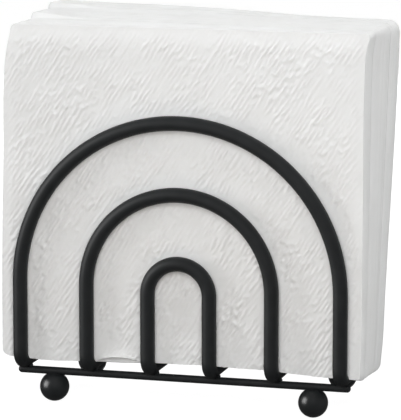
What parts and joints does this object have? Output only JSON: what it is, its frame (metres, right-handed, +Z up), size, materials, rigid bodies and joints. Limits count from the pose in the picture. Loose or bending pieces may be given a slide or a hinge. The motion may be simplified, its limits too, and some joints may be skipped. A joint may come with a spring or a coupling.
{
  "type": "upright wire napkin holder",
  "caption": "Upright tabletop napkin holder bent from black wire: nested rainbow arches front and rear, thin base rails and ball feet, loaded with white folded paper napkins.",
  "frame": {"origin": "on the table, under the middle of the frame and midway between the front and rear arches", "axes": "+Z up, +X across the holder to the right as seen from the front, +Y from the front arches to the rear arches"},
  "size_m": [0.163, 0.0764, 0.1716],
  "materials": {
    "black_powder_coat": "satin",
    "white_tissue": "matte"
  },
  "bodies": {
    "frame": {"front_outer_arch": "black_powder_coat", "front_middle_arch": "black_powder_coat", "front_inner_arch": "black_powder_coat", "rear_outer_arch": "black_powder_coat", "rear_middle_arch": "black_powder_coat", "rear_inner_arch": "black_powder_coat", "front_rail": "black_powder_coat", "rear_rail": "black_powder_coat", "front_left_foot": "black_powder_coat", "front_right_foot": "black_powder_coat", "rear_left_foot": "black_powder_coat", "rear_right_foot": "black_powder_coat", "front_rail_welds": "black_powder_coat", "rear_rail_welds": "black_powder_coat", "seam_welds": "black_powder_coat"},
    "front_napkin": {"front_napkin": "white_tissue"},
    "second_napkin": {"second_napkin": "white_tissue"},
    "napkin_pack_1": {"napkin_pack_1": "white_tissue"},
    "napkin_pack_2": {"napkin_pack_2": "white_tissue"},
    "napkin_pack_3": {"napkin_pack_3": "white_tissue"},
    "napkin_pack_4": {"napkin_pack_4": "white_tissue"},
    "napkin_pack_5": {"napkin_pack_5": "white_tissue"},
    "napkin_pack_6": {"napkin_pack_6": "white_tissue"}
  },
  "joints": [
    {"name": "front_napkin_lift", "type": "slide", "parent": "frame", "child": "front_napkin", "axis": [0, 0, 1], "range_m": [0, 0.17]},
    {"name": "second_napkin_lift", "type": "slide", "parent": "frame", "child": "second_napkin", "axis": [0, 0.0011, 1], "range_m": [0, 0.17]},
    {"name": "napkin_pack_1_lift", "type": "slide", "parent": "frame", "child": "napkin_pack_1", "axis": [0, 0.0059, 1], "range_m": [0, 0.17]},
    {"name": "napkin_pack_2_lift", "type": "slide", "parent": "frame", "child": "napkin_pack_2", "axis": [0, 0.0144, 0.9999], "range_m": [0, 0.17]},
    {"name": "napkin_pack_3_lift", "type": "slide", "parent": "frame", "child": "napkin_pack_3", "axis": [0, 0.023, 0.9997], "range_m": [0, 0.17]},
    {"name": "napkin_pack_4_lift", "type": "slide", "parent": "frame", "child": "napkin_pack_4", "axis": [0, 0.0315, 0.9995], "range_m": [0, 0.17]},
    {"name": "napkin_pack_5_lift", "type": "slide", "parent": "frame", "child": "napkin_pack_5", "axis": [0, 0.0401, 0.9992], "range_m": [0, 0.17]},
    {"name": "napkin_pack_6_lift", "type": "slide", "parent": "frame", "child": "napkin_pack_6", "axis": [0, 0.0486, 0.9988], "range_m": [0, 0.17]}
  ]
}
